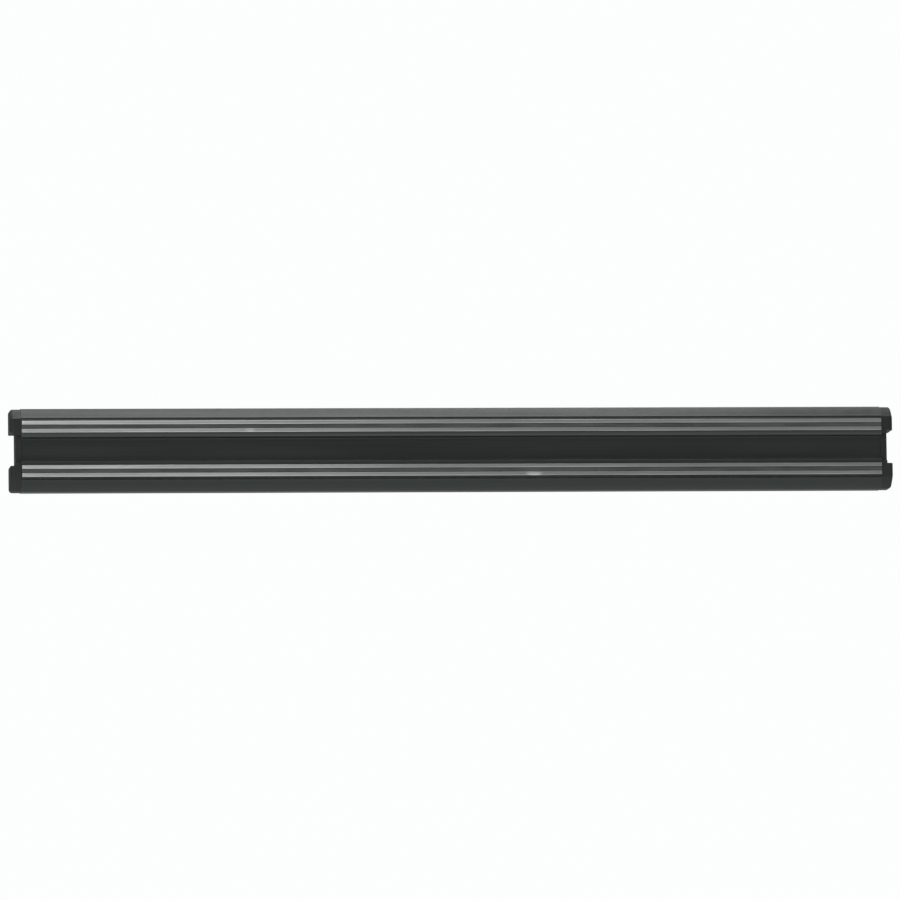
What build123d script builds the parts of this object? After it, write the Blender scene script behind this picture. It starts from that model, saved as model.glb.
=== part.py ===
from build123d import *
from math import atan, atan2, hypot, tan
import os

# Knife rack: a plastic extrusion that holds two rows of ferrite magnets between steel pole strips.
# Millimetres. +X is along the rack, +Z is up, and the wall is the plane y = 0, with the rack at -Y.
# The origin is on the wall, at the middle of the rack's back.

# Overall sizes
OVERALL_LENGTH = 457.0
RAIL_HEIGHT = 43.0
LAND_DEPTH = 17.5        # wall to the front lands of the extrusion
FLANK_DEPTH = 9.5        # wall to where the top and bottom slopes begin
WALL = 1.8               # wall thickness of the extrusion

# Magnets and pole strips
STRIP_THICKNESS = 1.85
STRIP_PROUD = 1.0        # how far a strip stands in front of the lands
STRIP_EDGE = 0.2
STRIP_SETBACK = 0.2      # each end, behind the end caps
SLOT_SPACING = 22.85     # between the middles of the two magnet slots
SLOT_CLEARANCE = 0.05    # each side, beside the strips
MAGNET_THICKNESS = 2.3
MAGNET_RECESS = 0.8      # behind the front edges of the strips
MAGNETS_PER_ROW = 9
MAGNET_GAP = 0.4         # between neighbouring magnets of a row

# Front face of the extrusion
CHANNEL_DEPTH = 3.5
CHANNEL_LIP = 1.2        # land between the channel and a slot
CHANNEL_MOUTH = 1.2      # rounding where a channel wall turns into its lip
CHANNEL_RADIUS = 0.9
GROOVE_LIP = 0.8         # land between a slot and the shadow groove
GROOVE_WIDTH = 0.6
GROOVE_DEPTH = 0.9
LAND_RADIUS = 0.22
FOOT_SHARE = 0.8         # most of the groove's wall that the rounding of a slope's foot may take
SLOPE_CROWN = 0.35       # bulge of the top and bottom slopes
SHOULDER_RADIUS = 2.6
BACK_RADIUS = 0.8

# Track in the back for the wall clips
TRACK_MOUTH = 14.0
TRACK_WIDTH = 20.0
TRACK_FLOOR = 6.5        # wall to the track's floor

# End caps
CAP_PLATE = 2.9          # thickness of the plate against the extrusion
CAP_LUG = 2.9            # how far the lugs reach past the plate
CAP_INSET = 0.3          # how much smaller than the extrusion the cap's outline is
CAP_ROUND = 1.8          # rounding of the lugs' outer ends, under the shoulder's radius less the inset
CAP_EDGE = 0.4
NOTCH_HEIGHT = 17.0      # between the lugs
BRIDGE_STEP = 0.9        # how far the plate stands in front of the channel's floor
SPIGOT_LENGTH = 9.0
SPIGOT_CLEARANCE = 0.15
SPIGOT_LEAD = 0.5

# Wall clips
CLIP_SPACING = 300.0
CLIP_LENGTH = 28.0
CLIP_CLEARANCE = 0.4
CLIP_BASE = 1.6
CLIP_ARM = 1.5
CLIP_BARB = 1.4          # straight depth of a barb, behind its ramp
CLIP_TIP = 0.5           # how far an arm's tip reaches past its root
CLIP_BOSS_RADIUS = 4.6
CLIP_BOSS_DEPTH = 4.6
CLIP_EDGE = 0.8
SCREW_RADIUS = 2.25
SCREW_HEAD_RADIUS = 4.0

# Worked out from the sizes above
CAP_LENGTH = CAP_PLATE + CAP_LUG
RAIL_LENGTH = OVERALL_LENGTH - 2 * CAP_LENGTH
HALF_HEIGHT = RAIL_HEIGHT / 2
CHANNEL_FLOOR = LAND_DEPTH - CHANNEL_DEPTH
SLOT_FLOOR = TRACK_FLOOR + WALL
SLOT_MIDDLE = SLOT_SPACING / 2
SLOT_HALF = MAGNET_THICKNESS / 2 + STRIP_THICKNESS + SLOT_CLEARANCE
CHANNEL_HALF = SLOT_MIDDLE - SLOT_HALF - CHANNEL_LIP
GROOVE_START = SLOT_MIDDLE + SLOT_HALF + GROOVE_LIP
SLOPE_START = GROOVE_START + GROOVE_WIDTH
SLOPE_RISE = HALF_HEIGHT - SLOPE_START
SLOPE_RUN = LAND_DEPTH - FLANK_DEPTH
STRIP_FRONT = LAND_DEPTH + STRIP_PROUD
STRIP_LENGTH = RAIL_LENGTH - 2 * STRIP_SETBACK
STRIP_OFFSET = (MAGNET_THICKNESS + STRIP_THICKNESS) / 2
MAGNET_LENGTH = (STRIP_LENGTH - (MAGNETS_PER_ROW - 1) * MAGNET_GAP) / MAGNETS_PER_ROW
PAST = 1.0               # how far a cutter reaches past the face it opens


def rect(depth_from, depth_to, low, high):
    """Rectangle of the section, between two depths from the wall and two heights."""
    middle = Pos((depth_from + depth_to) / 2, (low + high) / 2)
    return middle * Rectangle(depth_to - depth_from, high - low)


def both(shape):
    """The shape of the section and its twin on the other side of the middle height."""
    return shape + mirror(shape, about=Plane.XZ)


def bar(section, x_from, x_to):
    """Solid with this section, between two places along the rack."""
    start = Plane(origin=(x_to, 0, 0), x_dir=(0, -1, 0), z_dir=(-1, 0, 0))
    return extrude(start * section, amount=x_to - x_from)


def outline():
    """Section of the extrusion with its hollows filled and its corners sharp."""
    length = hypot(SLOPE_RISE, SLOPE_RUN)
    crown_depth = (LAND_DEPTH + FLANK_DEPTH) / 2 + SLOPE_CROWN * SLOPE_RISE / length
    crown_height = (HALF_HEIGHT + SLOPE_START) / 2 + SLOPE_CROWN * SLOPE_RUN / length
    front = Line((LAND_DEPTH, -SLOPE_START), (LAND_DEPTH, SLOPE_START))
    top = ThreePointArc((LAND_DEPTH, SLOPE_START), (crown_depth, crown_height), (FLANK_DEPTH, HALF_HEIGHT))
    back_corners = [(0, HALF_HEIGHT), (0, -HALF_HEIGHT)]
    back = Polyline((FLANK_DEPTH, HALF_HEIGHT), *back_corners, (FLANK_DEPTH, -HALF_HEIGHT))
    bottom = ThreePointArc(
        (FLANK_DEPTH, -HALF_HEIGHT), (crown_depth, -crown_height), (LAND_DEPTH, -SLOPE_START)
    )
    return make_face(front + top + back + bottom)


def corners(section, depth, height=None):
    """Corners of a section at this depth, and at this height on either side if one is given."""
    found = [v for v in section.vertices() if abs(v.X - depth) < 1e-4]
    if height is None:
        return found
    return [v for v in found if abs(abs(v.Y) - height) < 1e-4]


def shouldered_outline():
    """The outline with its top and bottom shoulders rounded."""
    section = outline()
    return fillet(corners(section, FLANK_DEPTH, HALF_HEIGHT), SHOULDER_RADIUS)


def foot_radius():
    """Rounding of the sharp edge between a slope and its groove, which only the groove's wall can hold."""
    crown_angle = 2 * atan(2 * SLOPE_CROWN / hypot(SLOPE_RISE, SLOPE_RUN))
    edge_angle = atan2(SLOPE_RISE, SLOPE_RUN) + crown_angle
    return min(LAND_RADIUS, FOOT_SHARE * GROOVE_DEPTH * tan(edge_angle / 2))


def channel(grow=0.0):
    """The shallow channel along the front, or the space it takes with a wall around it."""
    half = CHANNEL_HALF - CHANNEL_MOUTH + grow
    return rect(CHANNEL_FLOOR - grow, LAND_DEPTH + PAST, -half, half)


def slots(grow=0.0):
    """The two magnet slots, or the space they take with a wall around them."""
    half = SLOT_HALF + grow
    return both(rect(SLOT_FLOOR - grow, LAND_DEPTH + PAST, SLOT_MIDDLE - half, SLOT_MIDDLE + half))


def track(grow=0.0):
    """The T-shaped track in the back, or the space it takes with a wall around it."""
    mouth = rect(-PAST, WALL + grow, -TRACK_MOUTH / 2 - grow, TRACK_MOUTH / 2 + grow)
    inside = rect(WALL - grow, TRACK_FLOOR + grow, -TRACK_WIDTH / 2 - grow, TRACK_WIDTH / 2 + grow)
    return mouth + inside


def grooves():
    """The shadow grooves at the foot of the slopes."""
    return both(rect(LAND_DEPTH - GROOVE_DEPTH, LAND_DEPTH + PAST, GROOVE_START, SLOPE_START))


def chambers():
    """The closed hollows of the extrusion, each a wall away from every face."""
    inner = offset(outline(), -WALL)
    return (inner - channel(WALL) - slots(WALL) - track(WALL)).faces()


def rail_section():
    section = shouldered_outline()
    section = fillet(corners(section, 0, HALF_HEIGHT), BACK_RADIUS)
    section = section - channel() - slots() - track() - grooves()
    section = fillet(corners(section, CHANNEL_FLOOR), CHANNEL_RADIUS)
    section = fillet(corners(section, LAND_DEPTH, SLOPE_START), foot_radius())
    for height in (SLOT_MIDDLE - SLOT_HALF, SLOT_MIDDLE + SLOT_HALF, GROOVE_START):
        section = fillet(corners(section, LAND_DEPTH, height), LAND_RADIUS)
    section = fillet(corners(section, LAND_DEPTH, CHANNEL_HALF - CHANNEL_MOUTH), CHANNEL_MOUTH)
    for hollow in chambers():
        section -= hollow
    return section


def rail_body():
    return bar(rail_section(), -RAIL_LENGTH / 2, RAIL_LENGTH / 2)


def pole_strip(height):
    """Steel strip standing on the slot's floor, with its front edges eased."""
    section = rect(SLOT_FLOOR, STRIP_FRONT, height - STRIP_THICKNESS / 2, height + STRIP_THICKNESS / 2)
    section = fillet(corners(section, STRIP_FRONT), STRIP_EDGE)
    return bar(section, -STRIP_LENGTH / 2, STRIP_LENGTH / 2)


def magnet(height, index):
    """One ferrite block of a row, counted from the left end."""
    section = rect(
        SLOT_FLOOR, STRIP_FRONT - MAGNET_RECESS, height - MAGNET_THICKNESS / 2, height + MAGNET_THICKNESS / 2
    )
    start = -STRIP_LENGTH / 2 + index * (MAGNET_LENGTH + MAGNET_GAP)
    return bar(section, start, start + MAGNET_LENGTH)


def cap_spigots():
    """Plugs that fill the extrusion's hollows behind the cap's plate, with their tips eased."""
    plugs = []
    for hollow in chambers():
        section = offset(hollow, -SPIGOT_CLEARANCE)
        plug = bar(section, RAIL_LENGTH / 2 - SPIGOT_LENGTH, RAIL_LENGTH / 2)
        tip = plug.faces().sort_by(Axis.X)[0]
        plugs.append(chamfer(tip.edges(), SPIGOT_LEAD))
    return plugs


def rounded_lugs(section, start, end):
    """The cap's two lugs, well rounded at their outer ends and eased along the notch."""
    past_front = LAND_DEPTH + PAST
    notch_half = NOTCH_HEIGHT / 2
    notch = rect(-PAST, past_front, -notch_half, notch_half)
    lugs = bar(section - notch, start, end)
    off_the_wall = -CAP_INSET - CAP_EDGE
    tips = lugs.faces().filter_by(Plane.YZ).sort_by(Axis.X)[-2:]
    rims = [edge for tip in tips for edge in tip.edges() if edge.bounding_box().min.Y < off_the_wall]
    lugs = fillet([rim for rim in rims if abs(rim.center().Z) > notch_half + CAP_EDGE], CAP_ROUND)
    level = lugs.faces().filter_by(Plane.XY)
    cheeks = [face for face in level if abs(face.center().Z) < notch_half + CAP_EDGE]
    rims = [edge for cheek in cheeks for edge in cheek.edges() if edge.center().X > start + CAP_EDGE]
    return fillet([rim for rim in rims if rim.center().Y < off_the_wall], CAP_EDGE)


def end_cap_right():
    """Moulded cap: a plate on the extrusion's end, two lugs with a notch between them, and its spigots."""
    section = offset(shouldered_outline(), -CAP_INSET)
    recess = rect(CHANNEL_FLOOR + BRIDGE_STEP, LAND_DEPTH + PAST, -CHANNEL_HALF, CHANNEL_HALF)
    start = RAIL_LENGTH / 2
    cap = bar(section - recess, start, start + CAP_PLATE)
    cap += rounded_lugs(section, start, start + CAP_LENGTH)
    for plug in cap_spigots():
        cap += plug
    return cap


def end_cap_left():
    return mirror(end_cap_right(), about=Plane.YZ)


def clip_arms():
    """Two barbed arms on the clip's base, which snap in behind the track's lips."""
    root = TRACK_MOUTH / 2 - CLIP_CLEARANCE
    barb = TRACK_WIDTH / 2 - CLIP_CLEARANCE
    catch = WALL + CLIP_CLEARANCE
    tip = TRACK_FLOOR - CLIP_CLEARANCE
    points = [
        (0, root - CLIP_ARM),
        (0, root),
        (catch, root),
        (catch, barb),
        (catch + CLIP_BARB, barb),
        (tip, root + CLIP_TIP),
        (tip, root - CLIP_ARM),
    ]
    return both(make_face(Polyline(*points, close=True)))


def wall_clip(x_middle):
    """Nylon clip for one wall screw: a base, a countersunk boss and two barbed arms."""
    root = TRACK_MOUTH / 2 - CLIP_CLEARANCE
    section = rect(0, CLIP_BASE, -root, root) + clip_arms()
    clip = bar(section, -CLIP_LENGTH / 2, CLIP_LENGTH / 2)
    outer = [e for e in clip.edges().filter_by(Axis.Y) if abs(abs(e.center().Z) - root) > CLIP_EDGE]
    clip = fillet(outer, CLIP_EDGE)
    out = Plane(origin=(0, 0, 0), x_dir=(1, 0, 0), z_dir=(0, -1, 0))
    clip += extrude(out * Circle(CLIP_BOSS_RADIUS), amount=CLIP_BOSS_DEPTH)
    clip -= extrude(out * Circle(SCREW_RADIUS), amount=CLIP_BOSS_DEPTH)
    sink = SCREW_HEAD_RADIUS - SCREW_RADIUS
    head = Plane(origin=(0, -CLIP_BOSS_DEPTH + sink, 0), x_dir=(1, 0, 0), z_dir=(0, -1, 0))
    clip -= loft([head * Circle(SCREW_RADIUS), head.offset(sink) * Circle(SCREW_HEAD_RADIUS)])
    return Pos(x_middle, 0, 0) * clip


def all_parts():
    parts = {
        "rail_body": rail_body(),
        "end_cap_left": end_cap_left(),
        "end_cap_right": end_cap_right(),
        "wall_clip_left": wall_clip(-CLIP_SPACING / 2),
        "wall_clip_right": wall_clip(CLIP_SPACING / 2),
    }
    for row, side in (("upper", 1), ("lower", -1)):
        parts[f"pole_strip_{row}_outer"] = pole_strip(side * (SLOT_MIDDLE + STRIP_OFFSET))
        parts[f"pole_strip_{row}_inner"] = pole_strip(side * (SLOT_MIDDLE - STRIP_OFFSET))
        for index in range(MAGNETS_PER_ROW):
            parts[f"magnet_{row}_{index + 1}"] = magnet(side * SLOT_MIDDLE, index)
    return parts


os.makedirs("parts", exist_ok=True)
for name, shape in all_parts().items():
    shape.label = name
    export_step(shape, f"parts/{name}.step")
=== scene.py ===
import math
import random

import bmesh
import bpy
from mathutils import Matrix, Vector, noise


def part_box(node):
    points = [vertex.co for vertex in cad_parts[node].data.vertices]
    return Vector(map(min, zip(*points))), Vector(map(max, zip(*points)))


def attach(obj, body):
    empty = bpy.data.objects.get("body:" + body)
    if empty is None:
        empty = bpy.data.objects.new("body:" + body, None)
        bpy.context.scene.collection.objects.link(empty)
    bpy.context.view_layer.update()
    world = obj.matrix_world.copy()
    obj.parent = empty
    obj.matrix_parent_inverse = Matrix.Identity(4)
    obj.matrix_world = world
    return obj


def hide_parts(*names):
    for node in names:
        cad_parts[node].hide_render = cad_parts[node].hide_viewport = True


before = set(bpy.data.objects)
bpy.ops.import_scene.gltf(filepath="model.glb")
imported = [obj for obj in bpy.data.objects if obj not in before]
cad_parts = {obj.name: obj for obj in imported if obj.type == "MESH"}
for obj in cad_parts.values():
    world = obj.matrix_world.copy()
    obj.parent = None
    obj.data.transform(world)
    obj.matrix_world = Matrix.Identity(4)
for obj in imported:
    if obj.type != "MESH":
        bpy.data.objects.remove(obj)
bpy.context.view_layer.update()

# The rack lies along X with its back on the plane y = 0, and everything here is in metres.
# Sizes that the frame's boxes give
RAIL_LOW, RAIL_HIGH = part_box("rail_body")
STRIP_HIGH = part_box("pole_strip_upper_outer")[1]
INNER_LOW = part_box("pole_strip_upper_inner")[0]
RAIL_END = RAIL_HIGH.x
HALF_HEIGHT = RAIL_HIGH.z
LAND = -RAIL_LOW.y       # wall to the front lands of the extrusion
SLOT_FLOOR = -STRIP_HIGH.y
SLOT_CLEARANCE = 0.00005
SLOT_TOP = STRIP_HIGH.z + SLOT_CLEARANCE
SLOT_BOTTOM = INNER_LOW.z - SLOT_CLEARANCE

# Sizes of the extrusion's section
FLANK = 0.0095           # wall to where the slopes begin
WALL = 0.0018
CHANNEL_DEPTH = 0.0035
CHANNEL_LIP = 0.0012     # flat land between the channel's rounded mouth and a slot
CHANNEL_MOUTH = 0.0012   # rounding where a channel wall turns into its lip
CHANNEL_HALF = SLOT_BOTTOM - (CHANNEL_LIP + CHANNEL_MOUTH)
CHANNEL_ROUND = 0.0009   # rounding where a channel wall meets its floor
LAND_ROUND = 0.00022     # rounding of the small edges beside a land
SHOULDER_ROUND = 0.0026
BACK_ROUND = 0.0008
GROOVE_LIP = 0.0008      # land between a slot and the shadow groove
GROOVE_START = SLOT_TOP + GROOVE_LIP
GROOVE_WIDTH = 0.0006
GROOVE_DEPTH = 0.0009
SLOPE_CROWN = 0.00035
TRACK_MOUTH_HALF = 0.0070
TRACK_HALF = 0.0100
TRACK_FLOOR = SLOT_FLOOR - WALL

# Detail that the CAD solids leave out
DIE_LINE = 0.000012      # height of the lines that the die leaves along the extrusion
STRIP_WAVE = 0.00003     # unevenness of a strip's ground edge
STRIP_EDGE = 0.0002
STRIP_END_WEAR = 0.00012
STRIP_WEAR_REACH = 0.0012
NICKS_PER_STRIP = 9
NICK_DEPTH = 0.00012
BLOCKS_PER_ROW = 9
BLOCK_GROWTH = 0.00015   # added to each end that meets another block, so that the blocks nearly touch
BLOCK_SETBACK = 0.00015  # most that a block's front may stand behind its CAD solid's
BLOCK_EDGE = 0.00015
BLOCK_ROUGHNESS = 0.00004
BLOCK_END_WEAR = 0.00015
BLOCK_WEAR_REACH = 0.0004
CHIPS_PER_BLOCK = 7
CHIP_DEPTH = 0.00025


def turned_corner(before, corner, after, radius, steps):
    """Points of an arc that rounds one corner of an outline."""
    back = (Vector(before) - Vector(corner)).normalized()
    on = (Vector(after) - Vector(corner)).normalized()
    half = back.angle(on) / 2
    reach = min(radius / math.tan(half), 0.45 * (Vector(after) - Vector(corner)).length)
    reach = min(reach, 0.45 * (Vector(before) - Vector(corner)).length)
    middle = Vector(corner) + (back + on).normalized() * (reach / math.cos(half))
    start = Vector(corner) + back * reach - middle
    end = Vector(corner) + on * reach - middle
    return [middle + start.slerp(end, k / steps) * start.length for k in range(steps + 1)]


def rounded(corners, steps=5):
    """Closed outline through corners given as (depth, height, radius)."""
    points = []
    count = len(corners)
    for i, (depth, height, radius) in enumerate(corners):
        if radius == 0:
            points.append(Vector((depth, height)))
            continue
        before = corners[i - 1][:2]
        after = corners[(i + 1) % count][:2]
        points += turned_corner(before, (depth, height), after, radius, steps)
    return points


def slope_points(steps=8):
    """Crowned slope from its foot beside the groove to the shoulder, as (depth, height)."""
    foot = Vector((LAND, GROOVE_START + GROOVE_WIDTH))
    shoulder = Vector((FLANK, HALF_HEIGHT))
    across = (shoulder - foot).normalized()
    outward = Vector((-across.y, across.x)) * -1
    points = []
    for k in range(steps + 1):
        t = k / steps
        points.append(foot.lerp(shoulder, t) + outward * (4 * SLOPE_CROWN * t * (1 - t)))
    return points


def upper_section():
    """Corners of the section's upper half, from the channel's floor round the front to the track."""
    floor = LAND - CHANNEL_DEPTH
    corners = [
        (floor, CHANNEL_HALF, CHANNEL_ROUND),
        (LAND, CHANNEL_HALF, CHANNEL_MOUTH),
        (LAND, SLOT_BOTTOM, LAND_ROUND),
        (SLOT_FLOOR, SLOT_BOTTOM, 0),
        (SLOT_FLOOR, SLOT_TOP, 0),
        (LAND, SLOT_TOP, LAND_ROUND),
        (LAND, GROOVE_START, LAND_ROUND),
        (LAND - GROOVE_DEPTH, GROOVE_START, 0),
        (LAND - GROOVE_DEPTH, GROOVE_START + GROOVE_WIDTH, 0),
    ]
    slope = slope_points()
    corners.append((slope[0].x, slope[0].y, LAND_ROUND))
    corners += [(point.x, point.y, 0) for point in slope[1:-1]]
    corners += [
        (slope[-1].x, slope[-1].y, SHOULDER_ROUND),
        (0, HALF_HEIGHT, BACK_ROUND),
        (0, TRACK_MOUTH_HALF, 0),
        (WALL, TRACK_MOUTH_HALF, 0),
        (WALL, TRACK_HALF, 0),
        (TRACK_FLOOR, TRACK_HALF, 0),
    ]
    return corners


def side_chamber():
    """Corners of the closed hollow beside a slot, a wall's thickness inside every face."""
    behind_slot = SLOT_FLOOR - WALL
    beyond_slot = SLOT_TOP + WALL
    beyond_track = TRACK_HALF + WALL
    across = Vector((FLANK - LAND, HALF_HEIGHT - GROOVE_START - GROOVE_WIDTH)).normalized()
    inward = Vector((-across.y, across.x))
    sloped = [point + inward * WALL for point in slope_points()]
    foot = sloped[0] + (sloped[1] - sloped[0]) * (beyond_slot - sloped[0].y) / (sloped[1].y - sloped[0].y)
    kept = [point for point in sloped if foot.y < point.y < HALF_HEIGHT - WALL]
    last = kept[-1] + across * (HALF_HEIGHT - WALL - kept[-1].y) / across.y
    corners = [(WALL, beyond_track), (behind_slot, beyond_track), (behind_slot, beyond_slot), foot]
    corners += kept
    corners += [last, (WALL, HALF_HEIGHT - WALL)]
    return [Vector(corner) for corner in corners]


def centre_chamber():
    """Corners of the closed hollow behind the channel."""
    half = SLOT_BOTTOM - WALL
    back = TRACK_FLOOR + WALL
    front = LAND - CHANNEL_DEPTH - WALL
    return [Vector((back, -half)), Vector((front, -half)), Vector((front, half)), Vector((back, half))]


def divided(points, spacing):
    """The outline with extra points on its long straight runs."""
    result = []
    for i, point in enumerate(points):
        after = points[(i + 1) % len(points)]
        pieces = max(1, round((after - point).length / spacing))
        result += [point.lerp(after, k / pieces) for k in range(pieces)]
    return result


def stations(low, high, spacing):
    """Places along the rack, evenly spaced from one end of a piece to the other."""
    count = max(2, round((high - low) / spacing))
    return [low + (high - low) * k / count for k in range(count + 1)]


def swept(name, outlines, places, shaped=None):
    """Mesh of a section swept along the rack: the first outline is its outside, the others its hollows."""
    mesh = bmesh.new()
    rims = {places[0]: [], places[-1]: []}
    for number, outline in enumerate(outlines):
        before = None
        for x in places:
            ring = []
            for i, point in enumerate(outline):
                if shaped and number == 0:
                    point = shaped(x, point, i)
                ring.append(mesh.verts.new((x, -point.x, point.y)))
            count = len(ring)
            if before:
                for i in range(count):
                    k = (i + 1) % count
                    mesh.faces.new((before[i], before[k], ring[k], ring[i]))
            if x in rims:
                for i in range(count):
                    k = (i + 1) % count
                    rim = mesh.edges.get((ring[i], ring[k])) or mesh.edges.new((ring[i], ring[k]))
                    rims[x].append(rim)
            before = ring
    for x, rim in rims.items():
        side = 1 if x == places[-1] else -1
        bmesh.ops.triangle_fill(mesh, edges=rim, use_beauty=True, normal=(side, 0, 0))
    bmesh.ops.recalc_face_normals(mesh, faces=mesh.faces)
    return finished_mesh(name, mesh)


def finished_mesh(name, mesh, sharp=math.radians(32)):
    """Object in the scene from a bmesh, smooth but for its sharp edges."""
    data = bpy.data.meshes.new(name)
    mesh.to_mesh(data)
    mesh.free()
    data.shade_smooth()
    data.set_sharp_from_angle(angle=sharp)
    piece = bpy.data.objects.new(name, data)
    bpy.context.scene.collection.objects.link(piece)
    return piece


def outward_normals(points):
    """Direction that faces away from the material at each point of a closed outline."""
    area = sum(p.x * q.y - q.x * p.y for p, q in zip(points, points[1:] + points[:1]))
    side = 1 if area > 0 else -1
    result = []
    for i, point in enumerate(points):
        along = (points[(i + 1) % len(points)] - points[i - 1]).normalized()
        result.append(Vector((along.y, -along.x)) * side)
    return result


def extruded_rail():
    """The plastic extrusion, with the faint lines its die leaves along every face."""
    upper = upper_section()
    lower = [(depth, -height, radius) for depth, height, radius in reversed(upper)]
    outline = divided(rounded(upper + lower), 0.0006)
    normals = outward_normals(outline)
    lines = [noise.noise((i * 0.83, 3.1, 0.4)) for i in range(len(outline))]

    def shaped(x, point, i):
        drift = 0.35 * noise.noise((x * 9.0, i * 0.21, 7.0))
        return point + normals[i] * DIE_LINE * (lines[i] + drift)

    upper_hollow = side_chamber()
    lower_hollow = [Vector((point.x, -point.y)) for point in reversed(upper_hollow)]
    outlines = [outline, centre_chamber(), upper_hollow, lower_hollow]
    return swept("extruded_rail", outlines, stations(-RAIL_END, RAIL_END, 0.006), shaped)


def dent(x, place, width):
    """How deep a dent is at x, from 0 to 1 in its middle."""
    return math.exp(-((x - place) / width) ** 2)


def steel_strip(row, lane):
    """One pole strip, with a ground front edge that is a little uneven, nicked and worn at its ends."""
    low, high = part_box(f"pole_strip_{row}_{lane}")
    rng = random.Random(f"strip {row} {lane}")
    nicks = [
        (rng.uniform(low.x, high.x), rng.uniform(0.0004, 0.0012), rng.random())
        for _ in range(NICKS_PER_STRIP)
    ]
    front = -low.y
    back = -high.y
    corners = [
        (back, low.z, 0),
        (back, high.z, 0),
        (front, high.z, STRIP_EDGE),
        (front, low.z, STRIP_EDGE),
    ]
    outline = rounded(corners, 4)
    middle = (low.z + high.z) / 2
    offset = rng.uniform(0, 50)

    def shaped(x, point, i):
        if point.x < front - 2 * STRIP_EDGE:
            return point
        side = 1 if point.y > middle else -1
        wave = STRIP_WAVE * (noise.noise((x * 140, offset, side)) - 0.6)
        cut = sum(NICK_DEPTH * strength * dent(x, place, width) for place, width, strength in nicks)
        ends = min(x - low.x, high.x - x)
        worn = STRIP_END_WEAR * math.exp(-ends / STRIP_WEAR_REACH)
        return Vector((point.x + wave - cut - worn, point.y))

    return swept(f"steel_strip_{row}_{lane}", [outline], stations(low.x, high.x, 0.001), shaped)


def ferrite_block(row, number):
    """One sintered block between two strips, with chips along its front edges."""
    low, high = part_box(f"magnet_{row}_{number}")
    rng = random.Random(f"block {row} {number}")
    low.x -= BLOCK_GROWTH if number > 1 else 0
    high.x += BLOCK_GROWTH if number < BLOCKS_PER_ROW else 0
    front = -low.y - rng.uniform(0, BLOCK_SETBACK)
    back = -high.y
    middle = (low.z + high.z) / 2
    chips = [
        (rng.uniform(low.x, high.x), rng.uniform(0.0003, 0.0011), rng.choice((-1, 1)))
        for _ in range(CHIPS_PER_BLOCK)
    ]
    corners = [
        (back, low.z, 0),
        (back, high.z, 0),
        (front, high.z, BLOCK_EDGE),
        (front, low.z, BLOCK_EDGE),
    ]
    outline = divided(rounded(corners, 2), 0.0008)
    offset = rng.uniform(0, 50)

    def shaped(x, point, i):
        if point.x < front - 0.0005:
            return point
        side = 1 if point.y > middle else -1
        near = abs(point.y - middle) / (high.z - middle)
        rough = BLOCK_ROUGHNESS * (noise.noise((x * 600, point.y * 900, offset)) - 0.5)
        cut = sum(CHIP_DEPTH * dent(x, place, width) for place, width, edge in chips if edge == side)
        ends = min(x - low.x, high.x - x)
        worn = BLOCK_END_WEAR * math.exp(-ends / BLOCK_WEAR_REACH)
        return Vector((point.x + rough - cut * near ** 3 - worn, point.y))

    return swept(f"ferrite_block_{row}_{number}", [outline], stations(low.x, high.x, 0.0007), shaped)


# Shader building

def add(tree, kind, feeds=None, **settings):
    """New node with its settings, each input fed by a socket or set to a value."""
    node = tree.nodes.new(kind)
    for key, value in settings.items():
        setattr(node, key, value)
    for key, value in (feeds or {}).items():
        socket = node.inputs[key]
        if isinstance(value, bpy.types.NodeSocket):
            tree.links.new(value, socket)
        else:
            socket.default_value = value
    return node


def add_math(tree, operation, first, second=0.0, clamp=False):
    """Result of one arithmetic step on two values."""
    node = add(tree, "ShaderNodeMath", {0: first, 1: second}, operation=operation, use_clamp=clamp)
    return node.outputs[0]


def remapped(tree, value, low, high, to_low=0.0, to_high=1.0):
    """Value taken smoothly from one range to another."""
    feeds = {"Value": value, "From Min": low, "From Max": high, "To Min": to_low, "To Max": to_high}
    return add(tree, "ShaderNodeMapRange", feeds, interpolation_type="SMOOTHSTEP").outputs["Result"]


def mixed(tree, share, first, second):
    """Colour between two colours."""
    node = add(tree, "ShaderNodeMix", data_type="RGBA")
    for socket, value in ((node.inputs[0], share), (node.inputs[6], first), (node.inputs[7], second)):
        if isinstance(value, bpy.types.NodeSocket):
            tree.links.new(value, socket)
        else:
            socket.default_value = value
    return node.outputs[2]


FLOAT = "NodeSocketFloat"
VECTOR = "NodeSocketVector"


def new_group(name, inputs, outputs):
    """Node group with named inputs, given as (name, kind, value), and outputs, given as (name, kind)."""
    group = bpy.data.node_groups.new(name, "ShaderNodeTree")
    for title, kind, value in inputs:
        socket = group.interface.new_socket(name=title, in_out="INPUT", socket_type=kind)
        if value is not None:
            socket.default_value = value
    for title, kind in outputs:
        group.interface.new_socket(name=title, in_out="OUTPUT", socket_type=kind)
    return group, add(group, "NodeGroupInput").outputs, add(group, "NodeGroupOutput").inputs


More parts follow.
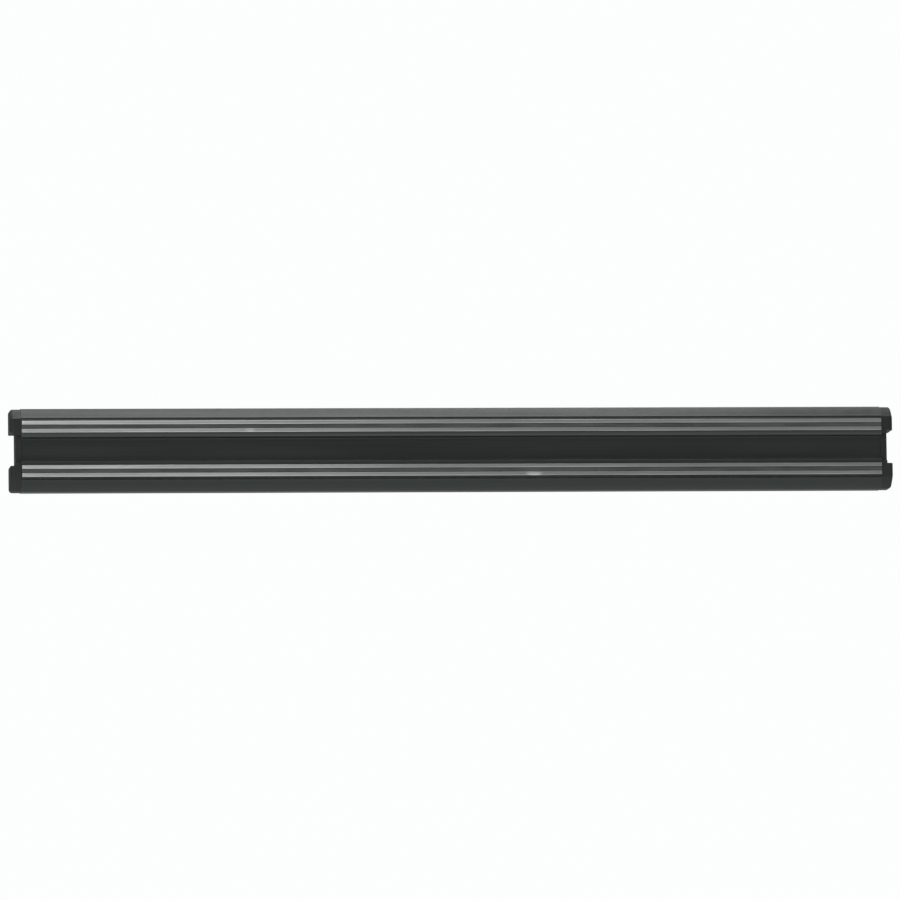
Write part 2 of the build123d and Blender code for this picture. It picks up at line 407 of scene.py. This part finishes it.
def lines_group():
    """Fine lines along the rack, as a die or a grinding belt leaves them."""
    inputs = [("Place", VECTOR, None), ("Across", FLOAT, 2500.0), ("Along", FLOAT, 12.0)]
    outputs = [("Height", FLOAT), ("Mask", FLOAT)]
    group, given, result = new_group("lines along the rack", inputs, outputs)
    feeds = {0: given["Along"], 1: given["Across"], 2: given["Across"]}
    stretch = add(group, "ShaderNodeCombineXYZ", feeds)
    feeds = {0: given["Place"], 1: stretch.outputs[0]}
    place = add(group, "ShaderNodeVectorMath", feeds, operation="MULTIPLY").outputs[0]
    feeds = {"Vector": place, "Scale": 1.0, "Detail": 5.0, "Roughness": 0.62}
    fine = add(group, "ShaderNodeTexNoise", feeds)
    wide = add(group, "ShaderNodeTexNoise", {"Vector": place, "Scale": 0.23, "Detail": 2.0})
    fine_share = add_math(group, "MULTIPLY", fine.outputs[0], 0.7)
    wide_share = add_math(group, "MULTIPLY", wide.outputs[0], 0.3)
    total = add_math(group, "ADD", fine_share, wide_share)
    group.links.new(total, result["Height"])
    group.links.new(remapped(group, total, 0.4, 0.62), result["Mask"])
    return group


def grain_group():
    """Fine pebbled grain of a moulded or sintered face."""
    inputs = [("Place", VECTOR, None), ("Size", FLOAT, 2500.0)]
    group, given, result = new_group("fine grain", inputs, [("Height", FLOAT), ("Specks", FLOAT)])
    feeds = {"Vector": given["Place"], "Scale": given["Size"]}
    pebbles = add(group, "ShaderNodeTexVoronoi", feeds, feature="SMOOTH_F1")
    soft = add(group, "ShaderNodeTexNoise", feeds)
    soft.inputs["Detail"].default_value = 3.0
    height = add_math(group, "ADD", pebbles.outputs["Distance"], soft.outputs[0])
    group.links.new(height, result["Height"])
    group.links.new(remapped(group, soft.outputs[0], 0.56, 0.7), result["Specks"])
    return group


def rubbed_and_highlight_group():
    """Edges worn by handling, and a painted edge highlight: a mask that is strongest on convex corners,
    broken up unevenly.
    """
    inputs = [("Place", VECTOR, None), ("Reach", FLOAT, 0.0004), ("Breakup", FLOAT, 400.0)]
    group, given, result = new_group("rubbed edges", inputs, [("Mask", FLOAT)])
    bevel = add(group, "ShaderNodeBevel", {"Radius": given["Reach"]}, samples=4)
    true = add(group, "ShaderNodeNewGeometry")
    feeds = {0: bevel.outputs[0], 1: true.outputs["Normal"]}
    facing = add(group, "ShaderNodeVectorMath", feeds, operation="DOT_PRODUCT").outputs["Value"]
    edge = remapped(group, add_math(group, "SUBTRACT", 1.0, facing), 0.01, 0.22)
    feeds = {"Vector": given["Place"], "Scale": given["Breakup"], "Detail": 4.0}
    broken = add(group, "ShaderNodeTexNoise", feeds)
    mask = add_math(group, "MULTIPLY", edge, remapped(group, broken.outputs[0], 0.35, 0.65))
    group.links.new(mask, result["Mask"])
    return group


def dust_group():
    """Dust that has settled on faces that look up, thicker in patches."""
    inputs = [("Place", VECTOR, None), ("Amount", FLOAT, 0.2), ("Patches", FLOAT, 60.0)]
    group, given, result = new_group("settled dust", inputs, [("Mask", FLOAT)])
    true = add(group, "ShaderNodeNewGeometry")
    up = add(group, "ShaderNodeSeparateXYZ", {0: true.outputs["Normal"]}).outputs[2]
    level = remapped(group, up, 0.1, 0.95)
    feeds = {"Vector": given["Place"], "Scale": given["Patches"], "Detail": 6.0, "Roughness": 0.7}
    patches = add(group, "ShaderNodeTexNoise", feeds)
    amount = add_math(group, "MULTIPLY", remapped(group, patches.outputs[0], 0.3, 0.75), given["Amount"])
    group.links.new(add_math(group, "MULTIPLY", level, amount), result["Mask"])
    return group


def tone_group():
    """Broad uneven tone, drawn out along the rack."""
    inputs = [("Place", VECTOR, None), ("Along", FLOAT, 8.0), ("Across", FLOAT, 60.0)]
    group, given, result = new_group("uneven tone", inputs, [("Mask", FLOAT)])
    feeds = {0: given["Along"], 1: given["Across"], 2: given["Across"]}
    stretch = add(group, "ShaderNodeCombineXYZ", feeds)
    feeds = {0: given["Place"], 1: stretch.outputs[0]}
    place = add(group, "ShaderNodeVectorMath", feeds, operation="MULTIPLY").outputs[0]
    cloud = add(group, "ShaderNodeTexNoise", {"Vector": place, "Scale": 1.0, "Detail": 3.0})
    group.links.new(remapped(group, cloud.outputs[0], 0.3, 0.7), result["Mask"])
    return group


def painted_light_spot_group():
    """A small spot at one place, that fades out over the size given each way; the steel uses it to paint
    glints and light.
    """
    inputs = [("Place", VECTOR, None), ("Middle", VECTOR, None), ("Spread", VECTOR, None)]
    group, given, result = new_group("bright spot", inputs, [("Mask", FLOAT)])
    feeds = {0: given["Place"], 1: given["Middle"]}
    away = add(group, "ShaderNodeVectorMath", feeds, operation="SUBTRACT").outputs[0]
    feeds = {0: away, 1: given["Spread"]}
    away = add(group, "ShaderNodeVectorMath", feeds, operation="DIVIDE").outputs[0]
    distance = add(group, "ShaderNodeVectorMath", {0: away}, operation="LENGTH").outputs["Value"]
    group.links.new(remapped(group, distance, 1.0, 0.3), result["Mask"])
    return group


GROUPS = {
    "lines": lines_group(),
    "grain": grain_group(),
    "rubbed_and_highlight": rubbed_and_highlight_group(),
    "dust": dust_group(),
    "tone": tone_group(),
    "spot": painted_light_spot_group(),
}


def placed(tree, name, place, **values):
    """One of the shared groups in a material, with its own values."""
    node = add(tree, "ShaderNodeGroup")
    node.node_tree = GROUPS[name]
    tree.links.new(place, node.inputs["Place"])
    for title, value in values.items():
        node.inputs[title.capitalize()].default_value = value
    return node.outputs


def new_material(name, **constants):
    """New material, with its node tree, its Principled shader's inputs and the place in the rack's frame."""
    material = bpy.data.materials.new(name)
    material.use_nodes = True
    tree = material.node_tree
    shader = tree.nodes["Principled BSDF"]
    for title, value in constants.items():
        shader.inputs[title.replace("_", " ")].default_value = value
    place = add(tree, "ShaderNodeTexCoord").outputs["Object"]
    return material, tree, shader.inputs, place


def bumped(tree, shader, height, strength, distance, normal=None):
    """Bump fed to the shader's normal, on top of another bump where one is given."""
    feeds = {"Height": height, "Strength": strength, "Distance": distance}
    node = add(tree, "ShaderNodeBump", feeds)
    if normal:
        tree.links.new(normal, node.inputs["Normal"])
    tree.links.new(node.outputs[0], shader["Normal"])
    return node.outputs[0]


DUST_COLOUR = (0.30, 0.31, 0.30, 1)
LIP_LIGHT_STARTS = -0.0158    # y at which the painted light on the front lips begins
LIP_LIGHT_IS_FULL = -0.0172   # y at which it is full
# Middles of the two painted glints on the strips, and of the painted light towards their left end
UPPER_PAINTED_GLINT = (-0.105, -0.0185, 0.0094)
LOWER_PAINTED_GLINT = (0.0415, -0.0185, -0.0135)
PAINTED_LIGHT_LEFT_END = (-0.26, -0.0185, 0.0)


def extruded_black():
    """Black plastic from a die: satin, lined along its length, greyer on its edges from wear and a painted
    edge highlight, with painted light on its front lips.
    """
    material, tree, shader, place = new_material("extruded_black", Specular_IOR_Level=0.5)
    lines = placed(tree, "lines", place, across=2200.0, along=9.0)
    tone = placed(tree, "tone", place, along=7.0, across=90.0)
    rubbed_and_highlight = placed(tree, "rubbed_and_highlight", place, reach=0.0007, breakup=350.0)
    dust = placed(tree, "dust", place, amount=0.12, patches=70.0)
    grain = placed(tree, "grain", place, size=3200.0)
    colour = mixed(tree, tone["Mask"], (0.0128, 0.0172, 0.0163, 1), (0.0185, 0.0240, 0.0228, 1))
    colour = mixed(tree, add_math(tree, "MULTIPLY", lines["Mask"], 0.4), colour, (0.030, 0.036, 0.0345, 1))
    # Painted light: the front lips and the channel's mouth are made lighter grey, fully on the upper half
    # and falling to a fifth as much on the lower half, broken up along the die lines.
    apart = add(tree, "ShaderNodeSeparateXYZ", {0: place}).outputs
    front = remapped(tree, apart[1], LIP_LIGHT_STARTS, LIP_LIGHT_IS_FULL)
    upper = remapped(tree, apart[2], -0.0065, 0.0, 0.2, 1.0)
    worn = add_math(tree, "MULTIPLY", front, remapped(tree, lines["Height"], 0.3, 0.6, 0.55, 0.95))
    colour = mixed(tree, add_math(tree, "MULTIPLY", worn, upper), colour, (0.066, 0.074, 0.072, 1))
    # Edges made lighter grey: partly wear, partly a painted edge highlight.
    colour = mixed(tree, add_math(tree, "MULTIPLY", rubbed_and_highlight["Mask"], 0.7), colour, (0.085, 0.094, 0.091, 1))
    colour = mixed(tree, dust["Mask"], colour, DUST_COLOUR)
    tree.links.new(colour, shader["Base Color"])
    rough = remapped(tree, tone["Mask"], 0.0, 1.0, 0.38, 0.46)
    rough = add_math(tree, "ADD", rough, add_math(tree, "MULTIPLY", dust["Mask"], 0.5))
    tree.links.new(rough, shader["Roughness"])
    fine = bumped(tree, shader, grain["Height"], 0.25, 0.00001)
    bumped(tree, shader, lines["Height"], 0.5, 0.00003, fine)
    return material


def moulded_black():
    """Black plastic from a mould: matt, with a fine grain and corners worn grey, lightened further by a
    painted edge highlight.
    """
    material, tree, shader, place = new_material("moulded_black", Specular_IOR_Level=0.42)
    grain = placed(tree, "grain", place, size=2400.0)
    tone = placed(tree, "tone", place, along=80.0, across=80.0)
    rubbed_and_highlight = placed(tree, "rubbed_and_highlight", place, reach=0.0010, breakup=420.0)
    dust = placed(tree, "dust", place, amount=0.10, patches=150.0)
    colour = mixed(tree, tone["Mask"], (0.0165, 0.0185, 0.0180, 1), (0.0265, 0.0255, 0.0245, 1))
    colour = mixed(tree, add_math(tree, "MULTIPLY", grain["Specks"], 0.3), colour, (0.03, 0.031, 0.03, 1))
    # Corners made lighter grey: partly wear, partly a painted edge highlight.
    colour = mixed(tree, add_math(tree, "MULTIPLY", rubbed_and_highlight["Mask"], 0.6), colour, (0.08, 0.083, 0.08, 1))
    colour = mixed(tree, dust["Mask"], colour, DUST_COLOUR)
    tree.links.new(colour, shader["Base Color"])
    rough = remapped(tree, tone["Mask"], 0.0, 1.0, 0.50, 0.60)
    tree.links.new(rough, shader["Roughness"])
    bumped(tree, shader, grain["Height"], 0.6, 0.00004)
    return material


def ground_steel():
    """Mild steel, ground along its length, dulled in patches and brighter where rubbing has freshened it,
    with two painted glints and painted light towards its left end.
    """
    material, tree, shader, place = new_material("ground_steel", Metallic=1.0)
    lines = placed(tree, "lines", place, across=5200.0, along=22.0)
    tone = placed(tree, "tone", place, along=14.0, across=260.0)
    fresh = placed(tree, "rubbed_and_highlight", place, reach=0.0003, breakup=700.0)
    # Masks of the two painted glints on the strips
    upper = placed(tree, "spot", place, middle=UPPER_PAINTED_GLINT, spread=(0.0035, 0.004, 0.0016))
    lower = placed(tree, "spot", place, middle=LOWER_PAINTED_GLINT, spread=(0.0055, 0.004, 0.0016))
    colour = mixed(tree, tone["Mask"], (0.36, 0.37, 0.362, 1), (0.60, 0.61, 0.60, 1))
    # Painted light: the strips are made paler towards their left end.
    painted_left_light = placed(tree, "spot", place, middle=PAINTED_LIGHT_LEFT_END, spread=(0.30, 0.5, 0.5))
    colour = mixed(tree, painted_left_light["Mask"], colour, (0.86, 0.87, 0.86, 1))
    colour = mixed(tree, add_math(tree, "MULTIPLY", lines["Mask"], 0.3), colour, (0.30, 0.31, 0.305, 1))
    colour = mixed(tree, add_math(tree, "MULTIPLY", fresh["Mask"], 0.5), colour, (0.78, 0.78, 0.77, 1))
    # Painted glints: the two spots are made near-white.
    bright = add_math(tree, "ADD", upper["Mask"], lower["Mask"], clamp=True)
    colour = mixed(tree, bright, colour, (0.99, 0.99, 0.985, 1))
    tree.links.new(colour, shader["Base Color"])
    rough = remapped(tree, tone["Mask"], 0.0, 1.0, 0.42, 0.30)
    tree.links.new(rough, shader["Roughness"])
    bumped(tree, shader, lines["Height"], 0.7, 0.00003)
    return material


def sintered_ferrite():
    """Dark ceramic magnet: matt and speckled, paler where it has chipped."""
    material, tree, shader, place = new_material("sintered_ferrite", Specular_IOR_Level=0.4)
    grain = placed(tree, "grain", place, size=4200.0)
    tone = placed(tree, "tone", place, along=45.0, across=300.0)
    rubbed_and_highlight = placed(tree, "rubbed_and_highlight", place, reach=0.0004, breakup=900.0)
    colour = mixed(tree, tone["Mask"], (0.080, 0.086, 0.083, 1), (0.135, 0.140, 0.136, 1))
    colour = mixed(tree, add_math(tree, "MULTIPLY", grain["Specks"], 0.6), colour, (0.17, 0.168, 0.16, 1))
    colour = mixed(tree, add_math(tree, "MULTIPLY", rubbed_and_highlight["Mask"], 0.6), colour, (0.21, 0.205, 0.20, 1))
    tree.links.new(colour, shader["Base Color"])
    tree.links.new(remapped(tree, tone["Mask"], 0.0, 1.0, 0.62, 0.8), shader["Roughness"])
    bumped(tree, shader, grain["Height"], 0.8, 0.00005)
    return material


def natural_nylon():
    """Uncoloured nylon: creamy, slightly see-through and faintly grained."""
    constants = {"Subsurface_Weight": 0.25, "Subsurface_Radius": (0.002, 0.0017, 0.0013), "IOR": 1.53}
    material, tree, shader, place = new_material("natural_nylon", **constants)
    grain = placed(tree, "grain", place, size=1800.0)
    tone = placed(tree, "tone", place, along=90.0, across=90.0)
    rubbed_and_highlight = placed(tree, "rubbed_and_highlight", place, reach=0.0005, breakup=500.0)
    colour = mixed(tree, tone["Mask"], (0.62, 0.58, 0.48, 1), (0.70, 0.66, 0.56, 1))
    colour = mixed(tree, add_math(tree, "MULTIPLY", rubbed_and_highlight["Mask"], 0.5), colour, (0.80, 0.78, 0.70, 1))
    tree.links.new(colour, shader["Base Color"])
    tree.links.new(remapped(tree, tone["Mask"], 0.0, 1.0, 0.36, 0.48), shader["Roughness"])
    bumped(tree, shader, grain["Height"], 0.4, 0.00003)
    return material


def pale_floor():
    """Matt pale floor that can't be seen from underneath."""
    material, tree, shader, place = new_material("pale_floor", Roughness=1.0, Specular_IOR_Level=0.0)
    tone = placed(tree, "tone", place, along=0.7, across=0.7)
    colour = mixed(tree, tone["Mask"], (0.80, 0.81, 0.81, 1), (0.84, 0.85, 0.85, 1))
    tree.links.new(colour, shader["Base Color"])
    shader["Emission Color"].default_value = (0.97, 1.0, 0.99, 1)
    seen = add(tree, "ShaderNodeLightPath").outputs["Is Camera Ray"]
    tree.links.new(add_math(tree, "MULTIPLY", seen, 0.34), shader["Emission Strength"])
    clear = add(tree, "ShaderNodeBsdfTransparent")
    under = add(tree, "ShaderNodeNewGeometry").outputs["Backfacing"]
    share = add(tree, "ShaderNodeMixShader", {0: under, 2: clear.outputs[0]})
    tree.links.new(tree.nodes["Principled BSDF"].outputs[0], share.inputs[1])
    tree.links.new(share.outputs[0], tree.nodes["Material Output"].inputs["Surface"])
    return material


def finish_piece(piece, material, body="rack", stands_for=None):
    """Gives a new piece its material and its body, and hides the CAD nodes it stands for."""
    piece.data.materials.clear()
    piece.data.materials.append(material)
    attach(piece, body)
    if stands_for:
        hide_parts(*stands_for)


BLACK_EXTRUDED = extruded_black()
BLACK_MOULDED = moulded_black()
STEEL = ground_steel()
FERRITE = sintered_ferrite()
NYLON = natural_nylon()

finish_piece(extruded_rail(), BLACK_EXTRUDED, stands_for=["rail_body"])
for row in ("upper", "lower"):
    for lane in ("outer", "inner"):
        finish_piece(steel_strip(row, lane), STEEL, stands_for=[f"pole_strip_{row}_{lane}"])
    for number in range(1, BLOCKS_PER_ROW + 1):
        finish_piece(ferrite_block(row, number), FERRITE, stands_for=[f"magnet_{row}_{number}"])

KEPT_CAD_PIECES = {
    "end_cap_left": BLACK_MOULDED,
    "end_cap_right": BLACK_MOULDED,
    "wall_clip_left": NYLON,
    "wall_clip_right": NYLON,
}
for name, material in KEPT_CAD_PIECES.items():
    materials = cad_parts[name].data.materials
    materials.clear()
    materials.append(material)


# Floor, light and camera

def studio_floor(height=-0.8, reach=12.0, squares=24):
    """Broad floor, well under the rack, that rises very slightly towards its rim."""
    mesh = bmesh.new()
    bmesh.ops.create_grid(mesh, x_segments=squares, y_segments=squares, size=reach)
    for vert in mesh.verts:
        away = max(0.0, vert.co.length - reach / 2) / reach
        vert.co.z = height + 0.3 * away ** 2
    floor = finished_mesh("studio_floor", mesh)
    floor.data.materials.append(pale_floor())


def softbox(name, place, aim, wide, deep, watts, colour=(0.97, 1.0, 0.99)):
    """Rectangular soft light at a place, turned towards a point."""
    data = bpy.data.lights.new(name, "AREA")
    data.shape = "RECTANGLE"
    data.size = wide
    data.size_y = deep
    data.energy = watts
    data.color = colour
    lamp = bpy.data.objects.new(name, data)
    bpy.context.scene.collection.objects.link(lamp)
    lamp.location = place
    lamp.rotation_mode = "QUATERNION"
    lamp.rotation_quaternion = (Vector(aim) - Vector(place)).to_track_quat("-Z", "Y")


def studio_world():
    """White to look at, and a soft light that is strong from above and weak from the horizon."""
    world = bpy.data.worlds.new("studio")
    world.use_nodes = True
    bpy.context.scene.world = world
    tree = world.node_tree
    tree.nodes.clear()
    direction = add(tree, "ShaderNodeTexCoord").outputs["Generated"]
    up = add(tree, "ShaderNodeSeparateXYZ", {0: direction}).outputs[2]
    light = remapped(tree, up, -0.05, 0.9, 0.165, 0.60)
    glow = add(tree, "ShaderNodeBackground", {"Color": (0.97, 1.0, 0.99, 1), "Strength": light})
    plain = add(tree, "ShaderNodeBackground", {"Color": (0.975, 0.995, 0.990, 1), "Strength": 1.0})
    seen = add(tree, "ShaderNodeLightPath").outputs["Is Camera Ray"]
    share = add(tree, "ShaderNodeMixShader", {0: seen, 1: glow.outputs[0], 2: plain.outputs[0]})
    add(tree, "ShaderNodeOutputWorld", {"Surface": share.outputs[0]})


def studio_camera(distance, azimuth, elevation, roll, lens, shift):
    """Long lens a little left of the rack's middle and a little under it."""
    turn = math.radians(azimuth)
    lift = math.radians(elevation)
    lean = math.radians(roll)
    back = Vector((math.sin(turn) * math.cos(lift), -math.cos(turn) * math.cos(lift), math.sin(lift)))
    right = Vector((math.cos(turn), math.sin(turn), 0))
    up = back.cross(right)
    across = right * math.cos(lean) + up * math.sin(lean)
    over = up * math.cos(lean) - right * math.sin(lean)
    data = bpy.data.cameras.new("studio_camera")
    data.lens = lens
    data.sensor_width = 36.0
    data.shift_x, data.shift_y = shift
    data.clip_end = 60.0
    camera = bpy.data.objects.new("studio_camera", data)
    bpy.context.scene.collection.objects.link(camera)
    turned = Matrix((across, over, back)).transposed().to_4x4()
    camera.matrix_world = Matrix.Translation(back * distance) @ turned
    bpy.context.scene.camera = camera


studio_floor()
studio_world()
softbox("overhead", (-0.02, 0.08, 0.68), aim=(-0.02, 0.0, 0.0), wide=0.48, deep=0.5, watts=1.85)
softbox("front_left", (-0.9, -1.3, 0.35), aim=(-0.05, 0.0, 0.0), wide=0.6, deep=0.6, watts=3.6)
softbox("behind", (0.35, 1.3, 0.75), aim=(0.0, 0.0, 0.0), wide=0.7, deep=0.7, watts=4.5)
softbox("low_front", (0.1, -0.9, -0.55), aim=(0.0, 0.0, 0.0), wide=0.7, deep=0.7, watts=1.2)
studio_camera(
    distance=6.0,
    azimuth=-5.887,
    elevation=-5.459,
    roll=-0.747,
    lens=464.6,
    shift=(0.00011, 0.00105),
)

bpy.context.scene.view_settings.view_transform = "Standard"
bpy.context.scene.view_settings.look = "None"
